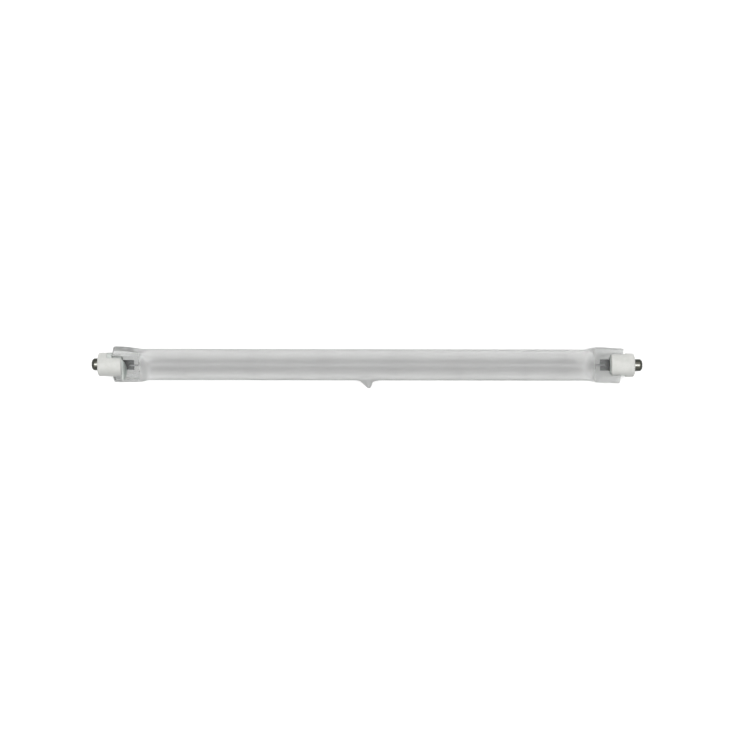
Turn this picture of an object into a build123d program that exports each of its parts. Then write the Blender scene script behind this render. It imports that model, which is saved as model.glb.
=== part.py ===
from build123d import *
from math import acos, atan2, cos, degrees, hypot, pi, radians, sin
import os

# A straight quartz heater lamp that lies on its side. The lamp's axis runs along X.
# Millimetres. The floor is Z = 0 and the lamp rests on the tube and on one edge of its left pinch.
# "Left" is the -X end. Each pinch and cap is turned about the lamp's axis by its own angle,
# counted from the direction in which the exhaust tip points.

# tube
TUBE_R = 5.5
BORE_R = 4.5
STRAIGHT = 76.5  # half length of the plain round tube

# pinch seals
NECK_END = 81.0  # the tube is pressed flat from STRAIGHT to here
PINCH_T = 3.2  # thickness over the rims
PINCH_R = 0.5  # fire-polished edge
WEB_T = 2.8  # thickness of the pressed panel between the rims
WEB_HALF = 4.6
WEB_START = 82.6
LEFT_TURN = -32.0  # the left pinch is twisted out of line with the right one
RIGHT_TURN = 6.0
LEFT_LOW = 6.6  # half width on the side nearer the tip's direction, and on the other side
LEFT_UP = 6.8
RIGHT_LOW = 6.45
RIGHT_UP = 6.21
LEFT_END = 90.2  # the pinch's own end, from mid length
RIGHT_END_LOW = 89.3  # the right end was cut a little askew
RIGHT_END_UP = 90.9

# exhaust tip, drawn off leaning to the right
TIP_H = 2.83
TIP_X = 0.68
TIP_BALL = 0.88

# leads and foils
LEAD_R = 0.35
FOIL_T = 0.04
FOIL_W = 4.0
FOIL_OFF = 0.34  # the foil lies beside the leads, which have a small welded flat
FOIL_IN = 82.4
FOIL_OUT = 88.7
LEFT_LEAD_IN = 76.3  # the coil sits a little left of the middle, so its leads differ
RIGHT_LEAD_IN = 74.3
INNER_LEAD_OUT = 84.2
OUTER_LEAD_IN = 87.2
OUTER_LEAD_OUT = 93.9

# filament
WIRE_R = 0.2
COIL_R = 2.1
PITCH = 1.0
TURNS = 149
COIL_START = -75.5
TAIL_R = LEAD_R + WIRE_R + 0.005
TAIL_PITCH = 0.43
TAIL_TURNS = 4
RAMP = 1.0  # length of the one turn that winds down from the coil to the lead
PHASE = 20.0  # where round the axis the coil starts

# supports
SUPPORT_WIRE_R = 0.15
SUPPORT_RING_R = BORE_R - SUPPORT_WIRE_R - 0.05
SUPPORT_TURNS = (8, 33, 58, 83, 106, 129, 143)  # the coil turn at which each one starts

# ceramic caps
CAP_R = 4.15
CAPS = {"left": (86.9, 95.4, 92.0), "right": (86.4, 94.8, 91.4)}  # inner end, outer end, end of the slot
SLOT_W = 3.5
RECESS_R = 2.3
RECESS_D = 0.6

# contacts
FACE_X = 97.5
FACE_R = 1.0
BUTTON_R = 2.15
DOME_D = 0.95
SHANK_R = 1.1
SHANK_END = 92.0

# how the lamp lies: the left pinch's rear lower corner and the tube touch the floor together
corner_s = LEFT_LOW - PINCH_R
corner_t = PINCH_T / 2 - PINCH_R
LEAN = degrees(acos((TUBE_R - PINCH_R) / hypot(corner_s, corner_t)) + atan2(corner_t, corner_s))
ROLL = LEAN - LEFT_TURN  # the tip's direction, from straight down towards -Y
AXIS_Y = 0.944  # puts the whole lamp's box about the origin
AXIS_Z = TUBE_R

os.makedirs("parts", exist_ok=True)


def across(x, turn):
    """Square to the lamp's axis at x. Its own x axis points turn degrees from the tip's direction."""
    a = radians(ROLL + turn)
    return Plane(origin=(x, AXIS_Y, AXIS_Z), x_dir=(0, -sin(a), -cos(a)), z_dir=(1, 0, 0))


def inward(x, turn):
    """The same plane, facing the middle of the lamp from the +X side."""
    a = radians(ROLL + turn)
    return Plane(origin=(x, AXIS_Y, AXIS_Z), x_dir=(0, -sin(a), -cos(a)), z_dir=(-1, 0, 0))


def flat_on(turn, off=0.0):
    """The pinch's own plan plane, x along the lamp and y across the pinch, off mm behind the axis."""
    a = radians(ROLL + turn)
    down, back = Vector(0, -sin(a), -cos(a)), Vector(0, cos(a), -sin(a))
    return Plane(origin=Vector(0, AXIS_Y, AXIS_Z) + back * off, x_dir=(1, 0, 0), z_dir=Vector(1, 0, 0).cross(down))


def tip_plane(h, x=0.0):
    """Square to the tip's direction, h above the tube's surface."""
    a = radians(ROLL)
    down = Vector(0, -sin(a), -cos(a))
    return Plane(origin=Vector(x, AXIS_Y, AXIS_Z) + down * (TUBE_R + h), x_dir=(1, 0, 0), z_dir=down)


LAMP = Axis((0, AXIS_Y, AXIS_Z), (1, 0, 0))


def smooth(t):
    t = min(max(t, 0.0), 1.0)
    return t * t * (3 - 2 * t)


def ring(low, up):
    """The eight corners of the pinch's section and the middles of its eight edges."""
    b, r = PINCH_T / 2, PINCH_R
    k = r * (1 - 0.7071)
    corners = [
        (low, r - b), (low, b - r), (low - r, b), (r - up, b),
        (-up, b - r), (-up, r - b), (r - up, -b), (low - r, -b),
    ]
    middles = [
        (low, 0), (low - k, b - k), ((low - up) / 2, b), (k - up, b - k),
        (-up, 0), (k - up, k - b), ((low - up) / 2, -b), (low - k, k - b),
    ]
    return corners, middles


def section(x, low, up):
    """The glass's outline at x, round at the tube and ever flatter to the pinch: eight (start, middle, end, straight)."""
    p = max(smooth((abs(x) - STRAIGHT) / (NECK_END - STRAIGHT)), 0.002)
    round_r = TUBE_R - 0.015
    at = [-18, 18, 52, 128, 162, 198, 232, 308]
    mid = [0, 35, 90, 145, 180, 215, 270, 325]
    corners, middles = ring(low, up)

    def between(angle, q):
        a = radians(angle)
        return ((1 - p) * round_r * cos(a) + p * q[0], (1 - p) * round_r * sin(a) + p * q[1])

    c = [between(a, q) for a, q in zip(at, corners)]
    m = [between(a, q) for a, q in zip(mid, middles)]
    return [(c[i], m[i], c[(i + 1) % 8], p > 0.999 and i % 2 == 0) for i in range(8)]


# leads: straight rods on the lamp's axis, each with a flat where the foil is welded on
leads = {}
for name, side, turn in (("left", -1, LEFT_TURN), ("right", 1, RIGHT_TURN)):
    inner_end = LEFT_LEAD_IN if side < 0 else RIGHT_LEAD_IN
    for kind, near, far in (("inner", inner_end, INNER_LEAD_OUT), ("outer", OUTER_LEAD_IN, OUTER_LEAD_OUT)):
        with BuildPart() as lead:
            with BuildSketch(across(side * near, turn)):
                Circle(LEAD_R)
            extrude(amount=side * (far - near))
            with BuildSketch(flat_on(turn, FOIL_OFF - FOIL_T / 2)):
                with Locations((side * (FOIL_IN + FOIL_OUT) / 2, 0)):
                    Rectangle(FOIL_OUT - FOIL_IN, 2)
            extrude(amount=0.3, mode=Mode.SUBTRACT)
        lead.part.label = f"{name}_{kind}_lead"
        export_step(lead.part, f"parts/{name}_{kind}_lead.step")
        leads[name, kind] = lead.part

# foils: thin strips with feathered long edges
foils = {}
for name, side, turn in (("left", -1, LEFT_TURN), ("right", 1, RIGHT_TURN)):
    with BuildPart() as foil:
        with BuildSketch(across(side * FOIL_IN, turn)):
            h, t, y = FOIL_W / 2, FOIL_T / 2, FOIL_OFF
            with BuildLine():
                Polyline((-h, y), (0.35 - h, y + t), (h - 0.35, y + t), (h, y), (h - 0.35, y - t), (0.35 - h, y - t), close=True)
            make_face()
        extrude(amount=side * (FOIL_OUT - FOIL_IN))
    foil.part.label = f"{name}_foil"
    export_step(foil.part, f"parts/{name}_foil.step")
    foils[name] = foil.part

# quartz envelope: one piece of glass
# (x, half width on the tip's side, half width on the other): the pressed necks, then the pinches
LEFT_NECK = ((76.0, 5.5, 5.5), (76.5, 5.5, 5.5), (77.4, 6.6, 5.55), (78.3, 6.6, 5.62), (79.2, 6.6, 5.72), (80.1, 6.6, 5.83), (81.0, 6.6, 5.95))
LEFT_PINCH = ((81.0, 6.6, 5.95), (82.6, 6.6, 6.15), (84.4, 6.6, 6.45), (86.4, LEFT_LOW, 6.65), (91.0, LEFT_LOW, LEFT_UP))
RIGHT_NECK = ((76.0, 5.5, 5.5), (76.5, 5.5, 5.5), (77.4, 5.5, 5.72), (78.3, 5.5, 5.95), (79.2, 5.55, 6.12), (80.1, 5.7, 6.2), (81.0, 5.92, RIGHT_UP))
RIGHT_PINCH = ((81.0, 5.92, RIGHT_UP), (82.6, 6.06, RIGHT_UP), (84.4, 6.28, 6.16), (86.4, 6.2, 5.97), (88.5, 6.3, 5.9), (91.6, RIGHT_LOW, 5.55))
with BuildPart() as envelope:
    with BuildSketch(across(-STRAIGHT, LEFT_TURN)):
        Circle(TUBE_R)
    extrude(amount=2 * STRAIGHT)
    for side, turn, widths, ruled in (
        (-1, LEFT_TURN, LEFT_NECK, False), (-1, LEFT_TURN, LEFT_PINCH, True),
        (1, RIGHT_TURN, RIGHT_NECK, False), (1, RIGHT_TURN, RIGHT_PINCH, True),
    ):
        for x, low, up in widths:
            with BuildSketch(across(side * x, turn)):
                with BuildLine():
                    for a, m, b, straight in section(x, low, up):
                        Line(a, b) if straight else ThreePointArc(a, m, b)
                make_face()
        loft(ruled=ruled)
    # the exhaust tip, with its foot blended into the tube
    for h, x, a, b in ((-0.9, 0.45, 4.0, 2.95), (-0.4, 0.4, 3.4, 2.55), (0.0, 0.28, 2.95, 2.2), (0.3, 0.1, 2.42, 2.0),
                       (0.88, 0.1, 1.83, 1.65), (1.6, 0.35, 1.32, 1.25), (2.3, 0.6, 0.82, 0.8), (2.5, 0.655, 0.66, 0.65)):
        with BuildSketch(tip_plane(h, x)):
            Ellipse(a, b)
    loft()
    with Locations(tip_plane(TIP_H - TIP_BALL, TIP_X)):
        Sphere(TIP_BALL)
    # the bore, drawn in to a flat mouth at each pinch
    with BuildSketch(across(-76.0, LEFT_TURN)):
        Circle(BORE_R)
    extrude(amount=152.0, mode=Mode.SUBTRACT)
    for side, turn in ((-1, LEFT_TURN), (1, RIGHT_TURN)):
        for x, a, b in ((76.0, 4.5, 4.5), (77.4, 4.48, 3.9), (78.8, 4.2, 2.2), (80.0, 3.3, 0.85), (80.7, 2.2, 0.36)):
            with BuildSketch(across(side * x, turn)):
                Ellipse(a, b)
        loft(mode=Mode.SUBTRACT)
    # the closed-off end of the exhaust hole
    for h, x, r in ((-1.4, 0.2, 0.8), (-0.4, 0.25, 0.62), (0.6, 0.4, 0.34), (1.35, 0.52, 0.12)):
        with BuildSketch(tip_plane(h, x)):
            Circle(r)
    loft(mode=Mode.SUBTRACT)
    # the pinches are cut to length, the corners melted round
    for side, turn, outline in (
        (-1, LEFT_TURN, [(-80, -LEFT_UP - 0.04), (-LEFT_END, -LEFT_UP - 0.04), (-LEFT_END, LEFT_LOW + 0.04), (-80, LEFT_LOW + 0.04)]),
        (1, RIGHT_TURN, [(80, -6.9), (RIGHT_END_UP, -5.75), (RIGHT_END_LOW, RIGHT_LOW), (80, RIGHT_LOW + 0.12)]),
    ):
        with BuildSketch(flat_on(turn)):
            with Locations((side * 91, 0)):
                Rectangle(9, 18)
            with BuildLine():
                FilletPolyline(*outline, radius=0.7, close=True)
            make_face(mode=Mode.SUBTRACT)
        extrude(amount=4, both=True, mode=Mode.SUBTRACT)
    # the pressed panel on both faces of each pinch
    for side, turn in ((-1, LEFT_TURN), (1, RIGHT_TURN)):
        for face in (-1, 1):
            with BuildSketch(flat_on(turn, face * WEB_T / 2)):
                with Locations((side * (WEB_START + 5), 0)):
                    RectangleRounded(10, 2 * WEB_HALF, 0.8)
            extrude(amount=face * 1.0, mode=Mode.SUBTRACT)
    for piece in (*leads.values(), *foils.values()):
        add(piece, mode=Mode.SUBTRACT)
envelope.part.label = "quartz_envelope"
export_step(envelope.part, "parts/quartz_envelope.step")


# filament: a close coil whose ends wind down onto the inner leads
fall = degrees(atan2(COIL_R - TAIL_R, RAMP))
coil_end = COIL_START + TURNS * PITCH
with BuildPart() as filament:
    with BuildLine() as path:
        add(across(COIL_START, PHASE) * Helix(pitch=PITCH, height=TURNS * PITCH, radius=COIL_R, mode=Mode.PRIVATE))
    with BuildSketch(Plane(origin=path.line @ 0, z_dir=path.line % 0)):
        Circle(WIRE_R)
    sweep(path=path.line, is_frenet=True)
    for plane, x, side in ((inward, COIL_START, -1), (across, coil_end, 1)):
        with BuildLine() as ramp:
            add(plane(x, PHASE) * Helix(pitch=RAMP / cos(radians(fall)), height=RAMP, radius=COIL_R, cone_angle=-fall, mode=Mode.PRIVATE))
        with BuildSketch(Plane(origin=ramp.line @ 0, z_dir=ramp.line % 0)):
            Circle(WIRE_R)
        sweep(path=ramp.line, is_frenet=True)
        with BuildLine() as tail:
            add(plane(x + side * RAMP, PHASE) * Helix(pitch=TAIL_PITCH, height=TAIL_TURNS * TAIL_PITCH, radius=TAIL_R, mode=Mode.PRIVATE))
        with BuildSketch(Plane(origin=tail.line @ 0, z_dir=tail.line % 0)):
            Circle(WIRE_R)
        sweep(path=tail.line, is_frenet=True)
        for joint in (ramp.line @ 0, ramp.line @ 1):
            with Locations(Location(joint)):
                Sphere(WIRE_R + 0.004)
filament.part.label = "filament"
export_step(filament.part, "parts/filament.step")

# supports: each grips the coil between its turns, then springs out to a ring against the bore
GRIP, SPRING, HOOP = 540, 200, 400  # degrees of each along the wire


def support_point(x, k):
    """The wire's centre k degrees along, from its start at x."""
    out = min(max((k - GRIP) / SPRING, 0.0), 1.0)
    r = COIL_R + (SUPPORT_RING_R - COIL_R) * smooth(out)
    if k <= GRIP:
        along = k / 360
    elif k <= GRIP + SPRING:
        along = GRIP / 360 + (k - GRIP) / 360 * (1 - 0.3 * out)
    else:
        along = (GRIP + 0.7 * SPRING) / 360 + (k - GRIP - SPRING) / 360 * 0.4
    a = radians(ROLL + PHASE - k)
    return (x + along * PITCH, AXIS_Y - r * sin(a), AXIS_Z - r * cos(a))


for i, n in enumerate(SUPPORT_TURNS):
    x = COIL_START + (n + 0.5) * PITCH
    with BuildPart() as support:
        with BuildLine() as wire:
            Spline(*[support_point(x, k) for k in range(0, GRIP + SPRING + HOOP + 1, 20)])
        with BuildSketch(Plane(origin=wire.line @ 0, z_dir=wire.line % 0)):
            Circle(SUPPORT_WIRE_R)
        sweep(path=wire.line, is_frenet=True)
    support.part.label = f"filament_support_{i + 1}"
    export_step(support.part, f"parts/filament_support_{i + 1}.step")

# ceramic caps: turned, with a slot for the pinch, a bore for the contact's shank and a shallow recess for its head
# contacts: turned, domed, drilled from behind for the outer lead
# cement: fills the slot round the pinch and stands out a little at the inner end
for name, side, turn in (("left", -1, LEFT_TURN), ("right", 1, RIGHT_TURN)):
    cap_in, cap_out, slot_end = CAPS[name]
    with BuildPart() as cap:
        with BuildSketch(flat_on(turn)):
            with BuildLine():
                Polyline((side * cap_in, SHANK_R), (side * cap_in, CAP_R - 0.6))
                ThreePointArc((side * cap_in, CAP_R - 0.6), (side * (cap_in + 0.176), CAP_R - 0.176), (side * (cap_in + 0.6), CAP_R))
                Line((side * (cap_in + 0.6), CAP_R), (side * (cap_out - 0.6), CAP_R))
                ThreePointArc((side * (cap_out - 0.6), CAP_R), (side * (cap_out - 0.16), CAP_R - 0.75), (side * cap_out, CAP_R - 1.6))
                Polyline(
                    (side * cap_out, CAP_R - 1.6), (side * cap_out, RECESS_R), (side * (cap_out - RECESS_D), RECESS_R),
                    (side * (cap_out - RECESS_D), SHANK_R), (side * cap_in, SHANK_R),
                )
            make_face()
        revolve(axis=LAMP)
        with BuildSketch(across(side * (cap_in - 1), turn)):
            Rectangle(2 * CAP_R + 2, SLOT_W)
        extrude(amount=side * (slot_end - cap_in + 1), mode=Mode.SUBTRACT)
    cap.part.label = f"{name}_ceramic_cap"
    export_step(cap.part, f"parts/{name}_ceramic_cap.step")

    with BuildPart() as contact:
        with BuildSketch(flat_on(turn)):
            with BuildLine():
                Line((side * FACE_X, 0), (side * FACE_X, FACE_R))
                ThreePointArc((side * FACE_X, FACE_R), (side * (FACE_X - 0.33), 1.74), (side * (FACE_X - DOME_D), BUTTON_R))
                Polyline(
                    (side * (FACE_X - DOME_D), BUTTON_R), (side * (cap_out - RECESS_D), BUTTON_R),
                    (side * (cap_out - RECESS_D), SHANK_R), (side * SHANK_END, SHANK_R), (side * SHANK_END, LEAD_R),
                    (side * OUTER_LEAD_OUT, LEAD_R), (side * OUTER_LEAD_OUT, 0), (side * FACE_X, 0),
                )
            make_face()
        revolve(axis=LAMP)
    contact.part.label = f"{name}_contact"
    export_step(contact.part, f"parts/{name}_contact.step")

    with BuildPart() as cement:
        if side < 0:
            # on the left some of it ran out over the face of the pinch
            for off, a, b in ((-WEB_T / 2 + 0.1, 2.05, 4.4), (-WEB_T / 2 - 0.2, 1.8, 4.1), (-WEB_T / 2 - 0.4, 1.2, 3.4)):
                with BuildSketch(flat_on(turn, off)):
                    with Locations((-cap_in, 1.6)):
                        Ellipse(a, b)
            loft(ruled=True)
            with BuildSketch(flat_on(turn)):
                with Locations((-cap_in - 5, 0)):
                    Rectangle(10, 16)
            extrude(amount=4, both=True, mode=Mode.SUBTRACT)
        with BuildSketch(across(side * cap_in, turn)):
            Circle(CAP_R - 0.15)
            Rectangle(2 * CAP_R, SLOT_W, mode=Mode.INTERSECT)
        extrude(amount=side * (slot_end - cap_in))
        with BuildSketch(across(side * cap_in, turn)):
            RectangleRounded(6.6, 4.6, 1.2)
        extrude(amount=-side * 0.55, taper=35)
        add(envelope.part, mode=Mode.SUBTRACT)
        for piece in (leads[name, "inner"], leads[name, "outer"], foils[name]):
            add(piece, mode=Mode.SUBTRACT)
    cement.part.label = f"{name}_cement"
    export_step(cement.part, f"parts/{name}_cement.step")
    print(name, "cap", cap.part.is_valid, "contact", contact.part.is_valid, "cement", cement.part.is_valid, len(cement.part.solids()))

print("lean", LEAN, "roll", ROLL)
print("envelope", envelope.part.bounding_box(), envelope.part.volume, envelope.part.is_valid, len(envelope.part.solids()))
print("filament", filament.part.bounding_box(), filament.part.volume, filament.part.is_valid, len(filament.part.solids()))
print("support", support.part.bounding_box(), support.part.volume, support.part.is_valid, len(support.part.solids()))
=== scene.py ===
import math

import bpy
import numpy as np
from mathutils import Matrix, Vector


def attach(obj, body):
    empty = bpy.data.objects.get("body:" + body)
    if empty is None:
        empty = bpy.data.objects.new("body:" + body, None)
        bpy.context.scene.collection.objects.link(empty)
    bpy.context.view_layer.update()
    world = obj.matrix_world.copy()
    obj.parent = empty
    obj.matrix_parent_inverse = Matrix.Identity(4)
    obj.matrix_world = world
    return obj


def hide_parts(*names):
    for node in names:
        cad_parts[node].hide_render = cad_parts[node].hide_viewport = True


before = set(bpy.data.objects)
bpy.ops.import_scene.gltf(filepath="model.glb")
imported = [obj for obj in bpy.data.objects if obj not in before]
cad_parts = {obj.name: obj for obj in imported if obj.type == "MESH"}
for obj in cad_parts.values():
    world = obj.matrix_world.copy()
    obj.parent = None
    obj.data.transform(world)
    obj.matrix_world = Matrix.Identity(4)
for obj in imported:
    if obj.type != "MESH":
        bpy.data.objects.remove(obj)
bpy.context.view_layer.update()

MM = 0.001

# ---------------------------------------------------------------- the lamp's sizes, millimetres, as in the construction
TUBE_R, BORE_R, STRAIGHT, NECK_END = 5.5, 4.5, 76.5, 81.0
PINCH_T, PINCH_R, WEB_D = 3.2, 0.5, 0.2
LEFT_TURN, RIGHT_TURN = -32.0, 6.0
LEFT_LOW = 6.6
WIRE_R, COIL_R, PITCH, TURNS, COIL_START, PHASE = 0.2, 2.1, 1.0, 149, -75.5, 20.0
LEAD_R, TAIL_R, TAIL_PITCH, TAIL_TURNS, RAMP = 0.35, 0.555, 0.43, 4, 1.0
SUPPORT_TURNS = (8, 33, 58, 83, 106, 129, 143)
SUPPORT_WIRE_R, SUPPORT_RING_R = 0.15, 4.30
CAP_R = 4.15
CAPS = {"left": (86.9, 95.4, 92.0), "right": (86.4, 94.8, 91.4)}  # inner end, outer end, end of the slot
AXIS_Y, AXIS_Z = 0.944, 5.5

_s, _t = LEFT_LOW - PINCH_R, PINCH_T / 2 - PINCH_R
LEAN = math.degrees(math.acos((TUBE_R - PINCH_R) / math.hypot(_s, _t)) + math.atan2(_t, _s))
ROLL = LEAN - LEFT_TURN


def frame_of(turn):
    """The directions across the lamp at that turn: towards the pinch's lower edge, and away from the viewer."""
    a = math.radians(ROLL + turn)
    return np.array([0.0, -math.sin(a), -math.cos(a)]), np.array([0.0, math.cos(a), -math.sin(a)])


def place(x, s, t, turn):
    """Lamp coordinates in millimetres, as arrays, to metres in the row frame."""
    u, v = frame_of(turn)
    x, s, t = np.broadcast_arrays(np.asarray(x, float), np.asarray(s, float), np.asarray(t, float))
    p = np.array([0.0, AXIS_Y, AXIS_Z]) + x[..., None] * np.array([1.0, 0, 0]) + s[..., None] * u + t[..., None] * v
    return p * MM


def smooth(t):
    t = np.clip(t, 0.0, 1.0)
    return t * t * (3 - 2 * t)


def table(x, rows):
    """Smooth-ish interpolation through (x, value) rows."""
    xs, ys = np.array(rows, float).T
    x = np.clip(x, xs[0], xs[-1])
    h = np.diff(xs)
    d = np.diff(ys) / h
    m = np.zeros(len(xs))
    for i in range(1, len(xs) - 1):
        if d[i - 1] * d[i] > 0:
            w1, w2 = 2 * h[i] + h[i - 1], h[i] + 2 * h[i - 1]
            m[i] = (w1 + w2) / (w1 / d[i - 1] + w2 / d[i])
    m[0], m[-1] = d[0], d[-1]
    i = np.clip(np.searchsorted(xs, x, side="right") - 1, 0, len(h) - 1)
    u = (x - xs[i]) / h[i]
    return (
        (2 * u**3 - 3 * u**2 + 1) * ys[i] + (u**3 - 2 * u**2 + u) * h[i] * m[i]
        + (-2 * u**3 + 3 * u**2) * ys[i + 1] + (u**3 - u**2) * h[i] * m[i + 1]
    )


# ---------------------------------------------------------------- mesh helpers
def new_piece(name, verts, faces, material, angle=40.0, node=None):
    mesh = bpy.data.meshes.new(name)
    mesh.from_pydata([tuple(v) for v in verts], [], [tuple(int(i) for i in f) for f in faces])
    mesh.validate()
    mesh.update()
    mesh.shade_smooth()
    mesh.set_sharp_from_angle(angle=math.radians(angle))
    obj = bpy.data.objects.new(name, mesh)
    bpy.context.scene.collection.objects.link(obj)
    mesh.materials.append(material)
    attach(obj, "root")
    if node:
        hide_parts(node)
    return obj


def grid_faces(rows, cols, base=0, closed=True, flip=False):
    out = []
    last = cols if closed else cols - 1
    for i in range(rows - 1):
        for j in range(last):
            k = (j + 1) % cols
            q = (base + i * cols + j, base + i * cols + k, base + (i + 1) * cols + k, base + (i + 1) * cols + j)
            out.append(q[::-1] if flip else q)
    return out


def tube_along(points, radius, sides=8, cap=True):
    """A round wire along an array of points in metres, with rounded ends."""
    p = np.asarray(points, float)
    n = len(p)
    tan = np.gradient(p, axis=0)
    tan /= np.linalg.norm(tan, axis=1)[:, None]
    ref = np.array([0.0, 0.0, 1.0]) if abs(tan[0][2]) < 0.9 else np.array([1.0, 0, 0])
    normal = np.cross(tan[0], ref)
    normal /= np.linalg.norm(normal)
    rings = []
    ang = np.arange(sides) * 2 * math.pi / sides
    for i in range(n):
        if i:
            normal = normal - tan[i] * (normal @ tan[i])
            normal /= np.linalg.norm(normal)
        side = np.cross(tan[i], normal)
        rings.append((p[i], normal.copy(), side, tan[i]))
    verts, rows = [], 0

    def ring(c, a, b, r):
        return c + r * (np.cos(ang)[:, None] * a + np.sin(ang)[:, None] * b)

    if cap:
        c, a, b, tg = rings[0]
        for f in (0.35, 0.75):
            verts.append(ring(c - tg * radius * math.sqrt(1 - f * f) * 0.6, a, b, radius * f))
            rows += 1
    for c, a, b, tg in rings:
        verts.append(ring(c, a, b, radius))
        rows += 1
    if cap:
        c, a, b, tg = rings[-1]
        for f in (0.75, 0.35):
            verts.append(ring(c + tg * radius * math.sqrt(1 - f * f) * 0.6, a, b, radius * f))
            rows += 1
    verts = np.concatenate(verts)
    faces = grid_faces(rows, sides)
    faces.append(tuple(range(sides))[::-1])
    faces.append(tuple(range((rows - 1) * sides, rows * sides)))
    return verts, faces


# ---------------------------------------------------------------- materials
def material(name):
    m = bpy.data.materials.new(name)
    m.use_nodes = True
    nt = m.node_tree
    nt.nodes.clear()
    out = nt.nodes.new("ShaderNodeOutputMaterial")
    return m, nt, out


def node(nt, kind, inputs=None, **attrs):
    n = nt.nodes.new(kind)
    for k, v in attrs.items():
        setattr(n, k, v)
    for k, v in (inputs or {}).items():
        if isinstance(v, bpy.types.NodeSocket):
            nt.links.new(v, n.inputs[k])
        else:
            n.inputs[k].default_value = v
    return n


def math_node(nt, op, a, b=0.0, clamp=False):
    n = nt.nodes.new("ShaderNodeMath")
    n.operation = op
    n.use_clamp = clamp
    for i, v in enumerate((a, b)):
        if isinstance(v, bpy.types.NodeSocket):
            nt.links.new(v, n.inputs[i])
        else:
            n.inputs[i].default_value = v
    return n.outputs[0]


def object_xyz(nt):
    tc = nt.nodes.new("ShaderNodeTexCoord")
    sep = nt.nodes.new("ShaderNodeSeparateXYZ")
    nt.links.new(tc.outputs["Object"], sep.inputs[0])
    return tc.outputs["Object"], sep.outputs


def across_lamp(nt, xyz):
    """Metres from the lamp's axis towards the side where the exhaust tip is."""
    a = math.radians(ROLL)
    dy = math_node(nt, "MULTIPLY", math_node(nt, "SUBTRACT", xyz["Y"], AXIS_Y * MM), -math.sin(a))
    dz = math_node(nt, "MULTIPLY", math_node(nt, "SUBTRACT", xyz["Z"], AXIS_Z * MM), -math.cos(a))
    return math_node(nt, "ADD", dy, dz)


def from_axis(nt, xyz):
    """Metres from the lamp's axis."""
    dy = math_node(nt, "SUBTRACT", xyz["Y"], AXIS_Y * MM)
    dz = math_node(nt, "SUBTRACT", xyz["Z"], AXIS_Z * MM)
    return math_node(nt, "SQRT", math_node(nt, "ADD", math_node(nt, "MULTIPLY", dy, dy), math_node(nt, "MULTIPLY", dz, dz)))


def map_range(nt, value, a, b, c=0.0, d=1.0, kind="SMOOTHSTEP"):
    n = nt.nodes.new("ShaderNodeMapRange")
    n.interpolation_type = kind
    n.clamp = True
    nt.links.new(value, n.inputs["Value"])
    n.inputs["From Min"].default_value = a
    n.inputs["From Max"].default_value = b
    n.inputs["To Min"].default_value = c
    n.inputs["To Max"].default_value = d
    return n.outputs["Result"]


def mix_color(nt, fac, a, b):
    n = nt.nodes.new("ShaderNodeMix")
    n.data_type = "RGBA"
    for sock, v in ((n.inputs["Factor"], fac), (n.inputs[6], a), (n.inputs[7], b)):
        if isinstance(v, bpy.types.NodeSocket):
            nt.links.new(v, sock)
        elif isinstance(v, (tuple, list)):
            sock.default_value = (*v, 1.0) if len(v) == 3 else v
        else:
            sock.default_value = v
    return n.outputs[2]


def mix_value(nt, fac, a, b):
    n = nt.nodes.new("ShaderNodeMix")
    n.data_type = "FLOAT"
    for sock, v in ((n.inputs[0], fac), (n.inputs[2], a), (n.inputs[3], b)):
        if isinstance(v, bpy.types.NodeSocket):
            nt.links.new(v, sock)
        else:
            sock.default_value = v
    return n.outputs[0]


FROST_A, FROST_B = (0.64, 0.644, 0.639), (0.668, 0.67, 0.665)
FROST_END = (0.70, 0.703, 0.698)
FROST_ROUGH, FROST_THROUGH = 0.48, 0.72
CLEAR_LEFT, CLEAR_LEFT_LOW = (0.57, 0.58, 0.572), (0.72, 0.729, 0.722)
CLEAR_RIGHT, CLEAR_RIGHT_LOW = (0.50, 0.507, 0.502), (0.61, 0.618, 0.612)
CLEAR_ROUGH, CLEAR_THROUGH = 0.18, 0.98


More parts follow.
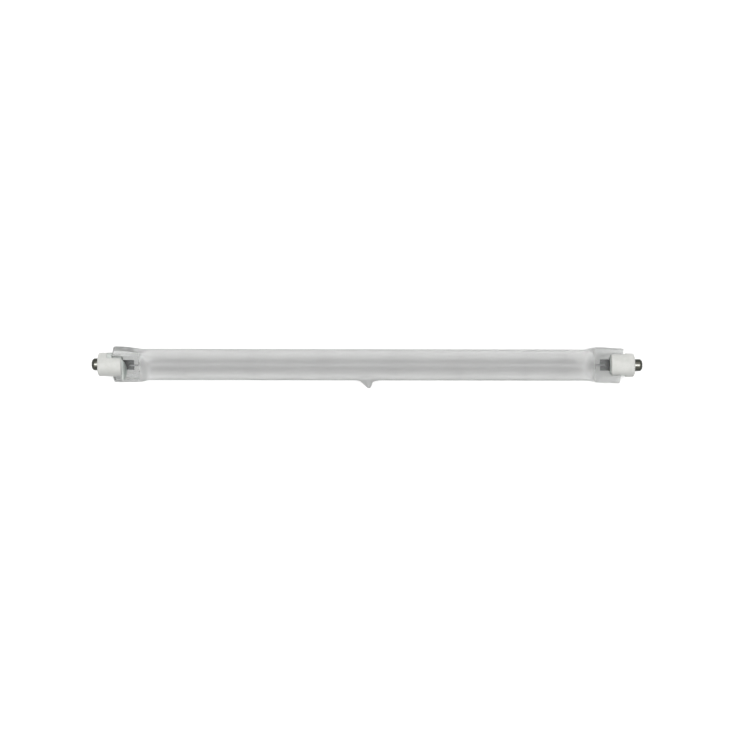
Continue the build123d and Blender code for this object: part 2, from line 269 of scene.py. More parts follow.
def quartz_material():
    """Quartz etched on the outside of the tube and clear on the pinches, with a soft change at each neck."""
    m, nt, out = material("frosted_quartz")
    co, xyz = object_xyz(nt)
    ax = math_node(nt, "ABSOLUTE", xyz["X"])
    wob = node(nt, "ShaderNodeTexNoise", {"Vector": co, "Scale": 900.0, "Detail": 2.0})
    ax2 = math_node(nt, "ADD", ax, math_node(nt, "MULTIPLY", math_node(nt, "SUBTRACT", wob.outputs["Fac"], 0.5), 0.0012))
    frost = map_range(nt, ax2, 0.0793, 0.0818, 1.0, 0.0)
    grain = node(nt, "ShaderNodeTexNoise", {"Vector": co, "Scale": 5200.0, "Detail": 3.0, "Roughness": 0.6})
    cloud = node(nt, "ShaderNodeTexNoise", {"Vector": co, "Scale": 160.0, "Detail": 3.0, "Roughness": 0.55})
    # a faint unevenness of the etching along the tube
    etched = mix_color(nt, map_range(nt, cloud.outputs["Fac"], 0.3, 0.7, 0.0, 1.0, "LINEAR"), FROST_A, FROST_B)
    # lighter from the start of each neck
    etched = mix_color(nt, map_range(nt, ax, 0.0752, 0.0772), etched, FROST_END)
    # each pinch has a tint of its own, painted to how it is lit, and painted light towards its lower edge, where the
    # floor's shadow shows through the glass
    right_end = map_range(nt, xyz["X"], -0.01, 0.01)
    across = across_lamp(nt, xyz)
    low = map_range(nt, across, -0.004, 0.0035)
    left_low = map_range(nt, across, -0.003, 0.0012)
    clear = mix_color(nt, right_end, mix_color(nt, left_low, CLEAR_LEFT, CLEAR_LEFT_LOW), mix_color(nt, low, CLEAR_RIGHT, CLEAR_RIGHT_LOW))
    # painted shade along the upper edge of the right pinch, outside its cap
    top = math_node(nt, "MULTIPLY", map_range(nt, across, -0.0062, -0.0056, 1.0, 0.0), map_range(nt, ax, 0.0850, 0.0865, 1.0, 0.0))
    clear = mix_color(nt, math_node(nt, "MULTIPLY", top, right_end), clear, (0.30, 0.306, 0.302))
    # painted light inside the caps, where the glass is left almost untinted, and a dull rim on the left pinch
    r = from_axis(nt, xyz)
    painted_light_in_caps = math_node(nt, "MULTIPLY", map_range(nt, r, 0.0040, 0.0043, 1.0, 0.0), map_range(nt, ax, 0.0866, 0.0870))
    clear = mix_color(nt, painted_light_in_caps, clear, (0.97, 0.975, 0.97))
    # the left pinch's dull rim also carries painted shade, lighter again at its very edge
    dull_rim_and_shade = math_node(nt, "MULTIPLY", map_range(nt, r, 0.0057, 0.0063), math_node(nt, "SUBTRACT", 1.0, right_end))
    edge = mix_color(nt, map_range(nt, r, 0.0064, 0.0067), (0.54, 0.55, 0.542), (0.88, 0.89, 0.88))
    clear = mix_color(nt, dull_rim_and_shade, clear, edge)
    color = mix_color(nt, frost, clear, etched)
    # painted shade on the rims, where the surface turns away from the viewer, on the frosted tube and the right pinch
    rim = map_range(nt, node(nt, "ShaderNodeLayerWeight", {"Blend": 0.5}).outputs["Facing"], 0.42, 0.75, 0.0, 0.26)
    rim = math_node(nt, "MULTIPLY", rim, math_node(nt, "MAXIMUM", frost, right_end))
    color = mix_color(nt, rim, color, (0.30, 0.31, 0.30))
    # painted shade along the frosted tube's lower side
    color = mix_color(nt, math_node(nt, "MULTIPLY", map_range(nt, across, 0.0047, 0.0054, 0.0, 0.3), frost), color, (0.30, 0.31, 0.30))
    ends = map_range(nt, ax, 0.064, 0.078, FROST_ROUGH, FROST_ROUGH - 0.12, "LINEAR")
    rough = mix_value(nt, frost, mix_value(nt, dull_rim_and_shade, CLEAR_ROUGH, 0.42), ends)
    rough = math_node(nt, "ADD", rough, math_node(nt, "MULTIPLY", math_node(nt, "SUBTRACT", grain.outputs["Fac"], 0.5), 0.08))
    through = mix_value(nt, frost, CLEAR_THROUGH, FROST_THROUGH)
    bump_h = math_node(nt, "MULTIPLY", grain.outputs["Fac"], frost)
    ripple = node(nt, "ShaderNodeTexNoise", {"Vector": co, "Scale": 620.0, "Detail": 1.0})
    bump_h = math_node(nt, "ADD", bump_h, math_node(nt, "MULTIPLY", ripple.outputs["Fac"], 0.5))
    bump = node(nt, "ShaderNodeBump", {"Height": bump_h, "Strength": 0.12, "Distance": 0.00008})
    bsdf = node(nt, "ShaderNodeBsdfPrincipled", {"Base Color": color, "Roughness": rough, "Transmission Weight": through,
                                                 "IOR": 1.458, "Normal": bump.outputs["Normal"]})
    nt.links.new(bsdf.outputs[0], out.inputs["Surface"])
    return m


def bore_material():
    """The inside of the glass: clear and smooth, with a slight waviness."""
    m, nt, out = material("clear_bore")
    co, xyz = object_xyz(nt)
    wave = node(nt, "ShaderNodeTexNoise", {"Vector": co, "Scale": 300.0, "Detail": 1.0})
    c = mix_color(nt, wave.outputs["Fac"], (0.97, 0.975, 0.97), (0.985, 0.99, 0.985))
    rough = map_range(nt, wave.outputs["Fac"], 0.3, 0.7, 0.07, 0.13, "LINEAR")
    bump = node(nt, "ShaderNodeBump", {"Height": wave.outputs["Fac"], "Strength": 0.08, "Distance": 0.00005})
    bsdf = node(nt, "ShaderNodeBsdfPrincipled", {"Base Color": c, "Roughness": rough, "Transmission Weight": 1.0,
                                                 "IOR": 1.458, "Normal": bump.outputs["Normal"]})
    nt.links.new(bsdf.outputs[0], out.inputs["Surface"])
    return m


def wire_material(name, color, rough, scale):
    m, nt, out = material(name)
    co, xyz = object_xyz(nt)
    n1 = node(nt, "ShaderNodeTexNoise", {"Vector": co, "Scale": scale, "Detail": 4.0})
    c = mix_color(nt, n1.outputs["Fac"], tuple(v * 0.75 for v in color), tuple(min(1.0, v * 1.2) for v in color))
    r = map_range(nt, n1.outputs["Fac"], 0.3, 0.7, rough - 0.07, rough + 0.1, "LINEAR")
    bump = node(nt, "ShaderNodeBump", {"Height": n1.outputs["Fac"], "Strength": 0.15, "Distance": 0.00002})
    bsdf = node(nt, "ShaderNodeBsdfPrincipled", {"Base Color": c, "Roughness": r, "Metallic": 1.0, "Normal": bump.outputs["Normal"]})
    nt.links.new(bsdf.outputs[0], out.inputs["Surface"])
    return m


def ceramic_material():
    """Unglazed steatite: off-white, faintly mottled, with fine pores, and painted shade on its lower side."""
    m, nt, out = material("ceramic_cap")
    co, xyz = object_xyz(nt)
    mottle = node(nt, "ShaderNodeTexNoise", {"Vector": co, "Scale": 420.0, "Detail": 4.0, "Roughness": 0.6})
    fine = node(nt, "ShaderNodeTexNoise", {"Vector": co, "Scale": 3800.0, "Detail": 3.0, "Roughness": 0.7})
    pores = node(nt, "ShaderNodeTexVoronoi", {"Vector": co, "Scale": 2600.0})
    pit = map_range(nt, pores.outputs["Distance"], 0.05, 0.22, 0.0, 1.0)
    base = mix_color(nt, map_range(nt, mottle.outputs["Fac"], 0.35, 0.68), (0.385, 0.39, 0.372), (0.425, 0.426, 0.41))
    base = mix_color(nt, math_node(nt, "MULTIPLY", math_node(nt, "SUBTRACT", 1.0, pit), 0.35), base, (0.29, 0.29, 0.28))
    # painted shade, greyer towards the lower side
    base = mix_color(nt, map_range(nt, across_lamp(nt, xyz), 0.0008, 0.0046, 0.0, 0.75), base, (0.20, 0.203, 0.195))
    height = math_node(nt, "ADD", math_node(nt, "MULTIPLY", fine.outputs["Fac"], 0.5), math_node(nt, "MULTIPLY", pit, 0.5))
    bump = node(nt, "ShaderNodeBump", {"Height": height, "Strength": 0.25, "Distance": 0.00004})
    rough = map_range(nt, fine.outputs["Fac"], 0.3, 0.7, 0.50, 0.66, "LINEAR")
    bsdf = node(nt, "ShaderNodeBsdfPrincipled", {"Base Color": base, "Roughness": rough, "Normal": bump.outputs["Normal"],
                                                 "Subsurface Weight": 0.08, "Subsurface Scale": 0.0008,
                                                 "Subsurface Radius": (1.0, 0.9, 0.8)})
    nt.links.new(bsdf.outputs[0], out.inputs["Surface"])
    return m


def contact_material():
    """Turned nickel: a polished worn middle that is also a painted highlight, tarnished towards the rim, with fine
    turning marks round the axis; a painted highlight where it faces the viewer and painted shade where it turns away.
    """
    m, nt, out = material("contact_nickel")
    co, xyz = object_xyz(nt)
    ax = math_node(nt, "ABSOLUTE", xyz["X"])
    r = from_axis(nt, xyz)
    run = math_node(nt, "ADD", math_node(nt, "MULTIPLY", r, 1.0), math_node(nt, "MULTIPLY", ax, 1.0))
    noise = node(nt, "ShaderNodeTexNoise", {"Vector": co, "Scale": 1500.0, "Detail": 4.0})
    turning = math_node(nt, "SINE", math_node(nt, "MULTIPLY", run, 52000.0))
    # the worn middle is lightened as a painted highlight as well as wear
    wear_and_highlight = map_range(nt, math_node(nt, "ADD", r, math_node(nt, "MULTIPLY", math_node(nt, "SUBTRACT", noise.outputs["Fac"], 0.5), 0.0006)), 0.0005, 0.0014, 1.0, 0.0)
    tarnish = mix_color(nt, map_range(nt, noise.outputs["Fac"], 0.35, 0.65), (0.075, 0.075, 0.062), (0.14, 0.137, 0.118))
    color = mix_color(nt, wear_and_highlight, tarnish, (0.55, 0.54, 0.51))
    view_facing = node(nt, "ShaderNodeLayerWeight", {"Blend": 0.5}).outputs["Facing"]
    # painted highlight where the metal faces the viewer
    color = mix_color(nt, map_range(nt, view_facing, 0.004, 0.045), (0.25, 0.25, 0.232), color)
    # painted shade where the metal turns away from the viewer
    color = mix_color(nt, map_range(nt, view_facing, 0.03, 0.25), color, (0.040, 0.042, 0.035))
    rough = math_node(nt, "ADD", 0.23, math_node(nt, "MULTIPLY", noise.outputs["Fac"], 0.12))
    bump = node(nt, "ShaderNodeBump", {"Height": turning, "Strength": 0.10, "Distance": 0.00001})
    bsdf = node(nt, "ShaderNodeBsdfPrincipled", {"Base Color": color, "Roughness": rough, "Metallic": 1.0,
                                                 "Normal": bump.outputs["Normal"]})
    nt.links.new(bsdf.outputs[0], out.inputs["Surface"])
    return m


def cement_material():
    """Set cement: grey-green white and granular in the slot, painted whiter deep in the slot where it lies in shade,
    thin and glassy where it ran out over the pinch.
    """
    m, nt, out = material("cement")
    co, xyz = object_xyz(nt)
    ax = math_node(nt, "ABSOLUTE", xyz["X"])
    thin = map_range(nt, ax, 0.0856, 0.0869, 1.0, 0.0)
    n1 = node(nt, "ShaderNodeTexNoise", {"Vector": co, "Scale": 700.0, "Detail": 5.0, "Roughness": 0.65})
    n2 = node(nt, "ShaderNodeTexNoise", {"Vector": co, "Scale": 4200.0, "Detail": 2.0})
    c = mix_color(nt, map_range(nt, n1.outputs["Fac"], 0.3, 0.7), (0.36, 0.39, 0.37), (0.43, 0.45, 0.43))
    # whiter deep in the slot: painted light on the shade there
    c = mix_color(nt, math_node(nt, "MULTIPLY", map_range(nt, from_axis(nt, xyz), 0.0035, 0.0039, 1.0, 0.0), map_range(nt, ax, 0.0868, 0.0872)), c,
                  (0.88, 0.90, 0.88))
    c = mix_color(nt, thin, c, (0.42, 0.46, 0.435))
    rough = map_range(nt, n1.outputs["Fac"], 0.3, 0.7, 0.35, 0.6, "LINEAR")
    bump = node(nt, "ShaderNodeBump", {"Height": n2.outputs["Fac"], "Strength": 0.4, "Distance": 0.00005})
    bsdf = node(nt, "ShaderNodeBsdfPrincipled", {"Base Color": c, "Roughness": rough, "IOR": 1.45, "Normal": bump.outputs["Normal"],
                                                 "Transmission Weight": math_node(nt, "MULTIPLY", thin, 0.8)})
    nt.links.new(bsdf.outputs[0], out.inputs["Surface"])
    return m


def foil_material():
    """Etched molybdenum foil: mid grey with faint creases across it, with painted shade where it runs in under the cap.
    """
    m, nt, out = material("sealing_foil")
    co, xyz = object_xyz(nt)
    ax = math_node(nt, "ABSOLUTE", xyz["X"])
    shade_near_cap = map_range(nt, ax, 0.0838, 0.0858)
    n1 = node(nt, "ShaderNodeTexNoise", {"Vector": co, "Scale": 1100.0, "Detail": 4.0})
    wave = math_node(nt, "SINE", math_node(nt, "MULTIPLY", ax, 9000.0))
    c = mix_color(nt, map_range(nt, n1.outputs["Fac"], 0.3, 0.7), (0.085, 0.09, 0.09), (0.16, 0.165, 0.165))
    # painted shade where the foil runs in under the cap
    c = mix_color(nt, shade_near_cap, c, (0.008, 0.009, 0.008))
    h = math_node(nt, "ADD", math_node(nt, "MULTIPLY", wave, 0.4), n1.outputs["Fac"])
    bump = node(nt, "ShaderNodeBump", {"Height": h, "Strength": 0.3, "Distance": 0.00003})
    bsdf = node(nt, "ShaderNodeBsdfPrincipled", {"Base Color": c, "Roughness": 0.42, "Metallic": 0.9, "Normal": bump.outputs["Normal"]})
    nt.links.new(bsdf.outputs[0], out.inputs["Surface"])
    return m


def floor_material():
    m, nt, out = material("floor_white")
    co, xyz = object_xyz(nt)
    n1 = node(nt, "ShaderNodeTexNoise", {"Vector": co, "Scale": 40.0, "Detail": 2.0})
    c = mix_color(nt, n1.outputs["Fac"], (0.925, 0.925, 0.925), (0.935, 0.935, 0.935))
    bsdf = node(nt, "ShaderNodeBsdfPrincipled", {"Base Color": c, "Roughness": 0.9, "Specular IOR Level": 0.1})
    nt.links.new(bsdf.outputs[0], out.inputs["Surface"])
    return m


QUARTZ = quartz_material()
BORE = bore_material()
COIL = wire_material("coil_tungsten", (0.125, 0.125, 0.13), 0.45, 2600.0)
SUPPORT = wire_material("support_tungsten", (0.20, 0.20, 0.205), 0.40, 2600.0)
LEAD = wire_material("lead_molybdenum", (0.30, 0.30, 0.305), 0.35, 2200.0)
CERAMIC = ceramic_material()
CONTACT = contact_material()
CEMENT = cement_material()
FOIL = foil_material()

# ---------------------------------------------------------------- quartz envelope: outside
N = 192
K = np.arange(N)
FI = 2 * math.pi * K / N  # angle from the tip's direction, turning away from the viewer


def pinch_points(low, up, shift):
    """The pinch's section, a rounded rectangle, as one point for each of the tube's N columns, denser at its edges."""
    deg = ((K + shift) % N) * 360.0 / N
    half = np.minimum(deg, 360 - deg)  # 0 at the lower edge's middle, 180 at the upper one's
    b, r = PINCH_T / 2, PINCH_R
    mid = (low - up) / 2
    q = np.radians(np.clip((half - 18) / 34, 0, 1) * 90)
    w = np.radians(np.clip((162 - half) / 34, 0, 1) * 90)
    s = np.where(
        half <= 18, low,
        np.where(half <= 52, low - r + r * np.cos(q), np.where(
            half >= 162, -up, np.where(half >= 128, -up + r - r * np.cos(w), np.interp(
                half, (52, 57, 66, 90, 114, 123, 128), (low - r, 5.0, 4.25, mid, -4.25, -5.0, r - up))))))
    t = np.where(
        half <= 18, (b - r) * half / 18,
        np.where(half <= 52, b - r + r * np.sin(q), np.where(
            half >= 162, (b - r) * (180 - half) / 18, np.where(half >= 128, b - r + r * np.sin(w), b))))
    return np.stack([s, np.where(deg > 180, -t, t)], axis=1)


ENDS = {  # half widths of the pinch on the tip's side and on the other, from mid length outward
    "left": dict(
        side=-1, turn=LEFT_TURN, shift=-17,
        low=((76.5, 5.5), (77.3, 6.15), (78.3, 6.5), (79.3, 6.6), (91.0, 6.6)),
        up=((76.5, 5.5), (77.4, 5.55), (79.2, 5.72), (81.0, 5.95), (82.6, 6.15), (84.4, 6.45), (86.4, 6.65), (91.0, 6.79)),
    ),
    "right": dict(
        side=1, turn=RIGHT_TURN, shift=3,
        low=((76.5, 5.5), (77.8, 5.75), (79.2, 5.8), (80.1, 5.9), (81.0, 6.06), (82.6, 6.2), (84.4, 6.4), (86.4, 6.32), (88.5, 6.4), (91.6, 6.45)),
        up=((76.5, 5.5), (77.4, 6.5), (78.3, 6.6), (79.2, 6.45), (80.1, 6.27), (81.0, 6.21), (82.6, 6.21), (84.4, 6.16), (86.4, 5.97), (88.5, 5.9), (91.6, 5.55)),
    ),
}


def end_x(name, s, low, up):
    """How far out the pinch's cut end lies, across its width."""
    a = np.where(s >= 0, low, up)
    if name == "left":
        x = 90.2 - 0.55 * np.clip((np.abs(s) - 2.6) / (a - 2.6), 0, 1) ** 2
        r = 0.55
    else:
        x = 90.17 - 0.115 * s + 0.03 * np.sin(1.7 * s)
        r = 0.12
    over = np.clip(np.abs(s) - (a - r), 0, r)
    return x - (r - np.sqrt(np.maximum(r * r - over * over, 0)))


def glass_rows(name):
    """Rows of N outer points from the tube's end to the pinch's end face, in (x, s, t) of that end's own frame."""
    e = ENDS[name]
    phi = 2 * math.pi * ((K + e["shift"]) % N) / N
    circle = np.stack([TUBE_R * np.cos(phi), TUBE_R * np.sin(phi)], axis=1)
    rows = []

    def flat(x):
        low, up = float(table(x, e["low"])), float(table(x, e["up"]))
        q = pinch_points(low, up, e["shift"])
        q0 = q.copy()
        p = float(smooth((x - STRAIGHT) / (NECK_END - STRAIGHT)))
        # the pressed panel
        panel = smooth((x - 82.3) / 0.9) * smooth((4.95 - np.abs(q[:, 0])) / 0.55)
        q[:, 1] -= np.sign(q[:, 1]) * WEB_D * panel * (np.abs(q[:, 1]) > 1.5)
        # the sides of the neck draw in where the soft glass was squeezed
        out = (1 - p) * circle + p * q
        out[:, 1] *= 1 - math.exp(-((x - 80.3) / 1.3) ** 2) * 0.05
        return out, low, up, q0

    for x in np.concatenate([np.arange(STRAIGHT, 81.0, 0.25), np.arange(81.0, 84.01, 0.25)]):
        q, low, up, _ = flat(x)
        rows.append((np.full(N, x), q[:, 0], q[:, 1]))
    steps = np.linspace(0, 1, 19)[1:]
    re = 0.42 if name == "left" else 0.2
    for f in steps:
        x_mid = 84.0 + (90.0 - 84.0) * f
        q, low, up, q0 = flat(x_mid)
        xe = end_x(name, q0[:, 0], low, up) - re
        rows.append((84.0 + (xe - 84.0) * f, q[:, 0], q[:, 1]))
    x_last, s_last, t_last = rows[-1]
    low, up = float(table(90.0, e["low"])), float(table(90.0, e["up"]))
    for deg in (20, 40, 60, 78, 90):
        a = math.radians(deg)
        inset = re * (1 - math.cos(a))
        rows.append((
            x_last + re * math.sin(a),
            s_last * (1 - inset / ((low + up) / 2)),
            t_last * (1 - inset / (PINCH_T / 2)),
        ))
    return rows


TIP_PROFILE = (  # height over the tube, centre along the lamp, half width along, half width across
    (0.0, 0.45, 4.45, 3.05), (0.03, 0.42, 3.9, 2.85), (0.1, 0.36, 3.35, 2.55), (0.3, 0.18, 2.62, 2.12), (0.6, 0.08, 2.14, 1.85),
    (0.88, 0.10, 1.84, 1.65), (1.2, 0.2, 1.58, 1.45), (1.6, 0.35, 1.32, 1.25), (2.0, 0.50, 1.05, 1.02), (2.3, 0.60, 0.83, 0.82),
    (2.55, 0.655, 0.62, 0.62), (2.7, 0.675, 0.44, 0.44), (2.79, 0.68, 0.27, 0.27), (2.83, 0.68, 0.0, 0.0),
)


def tip_shape():
    """The tip's profile against the share of its length, from the rim (1) to the summit (0)."""
    p = np.array(TIP_PROFILE)
    fine = np.linspace(0, 1, 400)
    # smooth curves through the table
    hs = p[:, 0]
    d = np.concatenate([[0], np.cumsum(np.hypot(np.diff(hs), np.diff(p[:, 2])))])
    d /= d[-1]
    cols = [table(fine, list(zip(d, p[:, i]))) for i in range(4)]
    return 1 - fine, cols


TIP_RHO, TIP_COLS = tip_shape()


def with_tip(x, phi):
    """The tube's outer surface at x and angle phi, with the drawn-off tip: returns x, s, t in the tip's own frame."""
    lat = TUBE_R * phi  # arc from the tip's direction, phi within -pi..pi
    dx, dl = (x - 0.45) / 4.45, lat / 3.2
    rho = np.hypot(dx, dl)
    s, t = TUBE_R * np.cos(phi), TUBE_R * np.sin(phi)
    inside = rho < 1
    if not inside.any():
        return x, s, t
    h, xc, a, b = (np.interp(np.clip(rho, 0, 1), TIP_RHO[::-1], c[::-1]) for c in TIP_COLS)
    ca = np.divide(dx, rho, out=np.zeros_like(rho), where=rho > 1e-9)
    sa = np.divide(dl, rho, out=np.zeros_like(rho), where=rho > 1e-9)
    nx, nt_ = xc + a * ca, b * sa
    ns = np.sqrt(np.maximum(TUBE_R**2 - nt_**2, 0)) + h
    w = smooth((1 - rho) / 0.12)
    nx, ns, nt_ = x + (nx - x) * w, s + (ns - s) * w, t + (nt_ - t) * w
    return np.where(inside, nx, x), np.where(inside, ns, s), np.where(inside, nt_, t)


def envelope():
    verts = []
    rows = 0
    left, right = glass_rows("left"), glass_rows("right")
    for x, s, t in reversed(left):
        verts.append(place(-x, s, t, LEFT_TURN))
        rows += 1
    mid = np.concatenate([
        np.arange(-75.0, -5.0, 1.25), np.arange(-4.6, 5.6, 0.15), np.arange(6.5, 76.0, 1.25),
    ])
    phi = np.where(FI > math.pi, FI - 2 * math.pi, FI)
    for x in mid:
        px, ps, pt = with_tip(np.full(N, x), phi)
        verts.append(place(px, ps, pt, 0.0))
        rows += 1
    for x, s, t in right:
        verts.append(place(x, s, t, RIGHT_TURN))
        rows += 1
    faces = grid_faces(rows, N)
    # end faces, across the thickness
    for base, shift, flip in ((0, ENDS["left"]["shift"], False), ((rows - 1) * N, ENDS["right"]["shift"], True)):
        def col(j):
            return base + (j - shift) % N
        for j in range(N // 2):
            a, b, c, d = col(j), col(j + 1), col(-(j + 1)), col(-j)
            quad = [a, b, c, d]
            quad = [q for i, q in enumerate(quad) if q not in quad[:i]]
            faces.append(tuple(quad if flip else quad[::-1]))
    outer = np.concatenate(verts)

    # inside: the bore, drawn in to a flat mouth at each pinch, with the exhaust hole's closed end
    M = 144
    ang = 2 * math.pi * np.arange(M) / M
    a_rows = ((75.5, 4.5), (77.0, 4.5), (78.2, 4.42), (79.2, 4.1), (79.9, 3.55), (80.4, 2.85), (80.75, 1.95), (80.9, 1.1))
    b_rows = ((75.5, 4.5), (76.6, 4.28), (77.6, 3.55), (78.6, 2.35), (79.4, 1.35), (80.0, 0.78), (80.5, 0.45), (80.9, 0.16))
    ends = np.concatenate([np.arange(75.75, 80.0, 0.25), np.arange(80.0, 80.91, 0.1)])
    inner, irows = [], 0
    for x in ends[::-1]:
        inner.append(place(-x, table(x, a_rows) * np.cos(ang - math.radians(32)), table(x, b_rows) * np.sin(ang - math.radians(32)), LEFT_TURN))
        irows += 1
    half = np.where(ang > math.pi, ang - 2 * math.pi, ang)
    for x in np.concatenate([np.arange(-74.5, -2.0, 2.0), np.arange(-1.6, 2.3, 0.16), np.arange(3.5, 75.0, 2.0)]):
        d = np.hypot((x - 0.25) / 0.62, BORE_R * half / 0.62)
        r = BORE_R + 1.5 * np.exp(-d * d)
        inner.append(place(x, r * np.cos(ang), r * np.sin(ang), 0.0))
        irows += 1
    for x in ends:
        inner.append(place(x, table(x, a_rows) * np.cos(ang + math.radians(6)), table(x, b_rows) * np.sin(ang + math.radians(6)), RIGHT_TURN))
        irows += 1
    base = len(outer)
    faces += grid_faces(irows, M, base=base, flip=True)
    inner = np.concatenate(inner)
    for row, flip in ((0, True), (irows - 1, False)):
        ring = [base + row * M + j for j in range(M)]
        centre = len(outer) + len(inner)
        inner = np.concatenate([inner, inner[row * M:(row + 1) * M].mean(axis=0)[None]])
        for j in range(M):
            tri = (ring[j], ring[(j + 1) % M], centre)
            faces.append(tri if flip else tri[::-1])
    return np.concatenate([outer, inner]), faces, base


v, f, first_inner = envelope()
glass = new_piece("quartz_envelope_glass", v, f, QUARTZ, angle=75, node="quartz_envelope")
glass.data.materials.append(BORE)
for poly in glass.data.polygons:
    poly.material_index = 1 if poly.vertices[0] >= first_inner else 0

# ---------------------------------------------------------------- filament
steps = 30


def spiral(x0, x1, r0, r1, turns, start, n):
    k = np.linspace(0, 1, n)
    return x0 + (x1 - x0) * k, r0 + (r1 - r0) * smooth(k), start + turns * 360 * k


def filament():
    rng = np.random.default_rng(4)
    parts = []
    coil_end = COIL_START + TURNS * PITCH
    tail = TAIL_TURNS * TAIL_PITCH
    # the left tail, wound outward, taken backwards so that the wire runs from left to right
    parts.append(spiral(COIL_START - RAMP - tail, COIL_START - RAMP, TAIL_R, TAIL_R, TAIL_TURNS, 0, TAIL_TURNS * 24))
    parts.append(spiral(COIL_START - RAMP, COIL_START, TAIL_R, COIL_R, 1, 0, 30))
    parts.append(spiral(COIL_START, coil_end, COIL_R, COIL_R, TURNS, 0, TURNS * steps))
    parts.append(spiral(coil_end, coil_end + RAMP, COIL_R, TAIL_R, 1, 0, 30))
    parts.append(spiral(coil_end + RAMP, coil_end + RAMP + tail, TAIL_R, TAIL_R, TAIL_TURNS, 0, TAIL_TURNS * 24))
    xs, rs, an, total = [], [], [], 0.0
    for i, (x, r, a) in enumerate(parts):
        keep = slice(0, None) if i == 0 else slice(1, None)
        xs.append(x[keep]); rs.append(r[keep]); an.append((a + total)[keep])
        total += a[-1]
    x, r, a = np.concatenate(xs), np.concatenate(rs), np.concatenate(an)
    # slow unevenness in the winding, none where a support grips it
    knots = rng.normal(0, 0.06, 60)
    along_x = np.interp(x, np.linspace(-76, 76, 60), knots)
    grip = np.ones_like(x)
    for n in SUPPORT_TURNS:
        c = COIL_START + n + 1.2
        grip *= 1 - np.exp(-((x - c) / 2.6) ** 2)
    inside = (x > COIL_START) & (x < coil_end)
    x = x + np.where(inside, along_x * grip, 0)
    phi = PHASE - a
    u = np.radians(phi)
    # in the tip's frame: turn angle measured from the tip's direction towards the viewer
    return place(x, r * np.cos(u), -r * np.sin(u), 0.0)


path = filament()
v, f = tube_along(path, WIRE_R * MM, sides=8)
new_piece("filament_coil", v, f, COIL, angle=80, node="filament")

# ---------------------------------------------------------------- supports
for i, n in enumerate(SUPPORT_TURNS):
    k = np.arange(0, 1141, 10.0)
    out = np.clip((k - 540) / 200, 0, 1)
    r = COIL_R + (SUPPORT_RING_R - COIL_R) * smooth(out)
    x = np.where(k <= 540, k / 360, np.where(k <= 740, 1.5 + (k - 540) / 360 * (1 - 0.3 * out), (540 + 140) / 360 + (k - 740) / 360 * 0.4))
    u = np.radians(PHASE - k)
    pts = place(COIL_START + n + 0.5 + x, r * np.cos(u), -r * np.sin(u), 0.0)
    v, f = tube_along(pts, SUPPORT_WIRE_R * MM, sides=10)
    new_piece(f"support_spiral_{i + 1}", v, f, SUPPORT, angle=80, node=f"filament_support_{i + 1}")


# ---------------------------------------------------------------- foils: thin, feathered along their edges, a little creased
def foil(name):
    e = ENDS[name]
    rng = np.random.default_rng(11 if name == "left" else 12)
    nx, ns = 44, 25
    xs = np.linspace(82.4, 88.7, nx)
    ss = np.linspace(-2.0, 2.0, ns)
    X, S = np.meshgrid(xs, ss, indexing="ij")
    wob = np.zeros_like(X)
    for _ in range(5):
        kx, ks, ph = rng.uniform(0.6, 2.6), rng.uniform(-0.8, 0.8), rng.uniform(0, 6.28)
        wob += 0.010 * np.sin(kx * X + ks * S + ph)
    edge = np.minimum((2.0 - np.abs(S)) / 0.35, 1.0)
    T0 = 0.34 + wob * np.minimum(np.minimum(X - 82.4, 88.7 - X) * 1.5, 1.0)
    half = 0.02 * np.clip(edge, 0.08, 1)
    front = place(e["side"] * X, S, T0 - half, e["turn"]).reshape(-1, 3)
    back = place(e["side"] * X, S, T0 + half, e["turn"]).reshape(-1, 3)
    n = nx * ns
    faces = []
    for i in range(nx - 1):
        for j in range(ns - 1):
            q = (i * ns + j, i * ns + j + 1, (i + 1) * ns + j + 1, (i + 1) * ns + j)
            faces.append(q if e["side"] > 0 else q[::-1])
            b = tuple(n + k for k in q)
            faces.append(b[::-1] if e["side"] > 0 else b)
    rim = [i * ns for i in range(nx)] + [(nx - 1) * ns + j for j in range(1, ns)] + [i * ns + ns - 1 for i in range(nx - 2, -1, -1)] + [j for j in range(ns - 2, 0, -1)]
    for a, b in zip(rim, rim[1:] + rim[:1]):
        q = (a, b, n + b, n + a)
        faces.append(q if e["side"] > 0 else q[::-1])
    return np.concatenate([front, back]), faces


for name in ("left", "right"):
    v, f = foil(name)
    new_piece(f"{name}_foil_strip", v, f, FOIL, angle=60, node=f"{name}_foil")


# ---------------------------------------------------------------- contacts: turned on a lathe
def lathe(name, profile, mat, node_name, side, columns=96, angle=35):
    ang = 2 * math.pi * np.arange(columns) / columns
    verts, faces = [], []
    first_axis = profile[0][1] < 1e-6
    last_axis = profile[-1][1] < 1e-6
    body = profile[1 if first_axis else 0:len(profile) - (1 if last_axis else 0)]
    for x, r in body:
        verts.append(place(side * x, r * np.cos(ang), r * np.sin(ang), 0.0))
    rows = len(body)
    verts = np.concatenate(verts)
    faces += grid_faces(rows, columns, flip=side > 0)
    for present, row, (x, _), rev in ((first_axis, 0, profile[0], False), (last_axis, rows - 1, profile[-1], True)):
        if present:
            c = len(verts)
            verts = np.concatenate([verts, place(side * x, 0.0, 0.0, 0.0)[None]])
            for j in range(columns):
                tri = (row * columns + j, row * columns + (j + 1) % columns, c)
                flip = rev ^ (side > 0)
                faces.append(tri if flip else tri[::-1])
    return new_piece(name, verts, faces, mat, angle=angle, node=node_name)


def arc(cx, cr, r, a0, a1, n):
    return [(cx + r * math.cos(math.radians(a)), cr + r * math.sin(math.radians(a))) for a in np.linspace(a0, a1, n)]


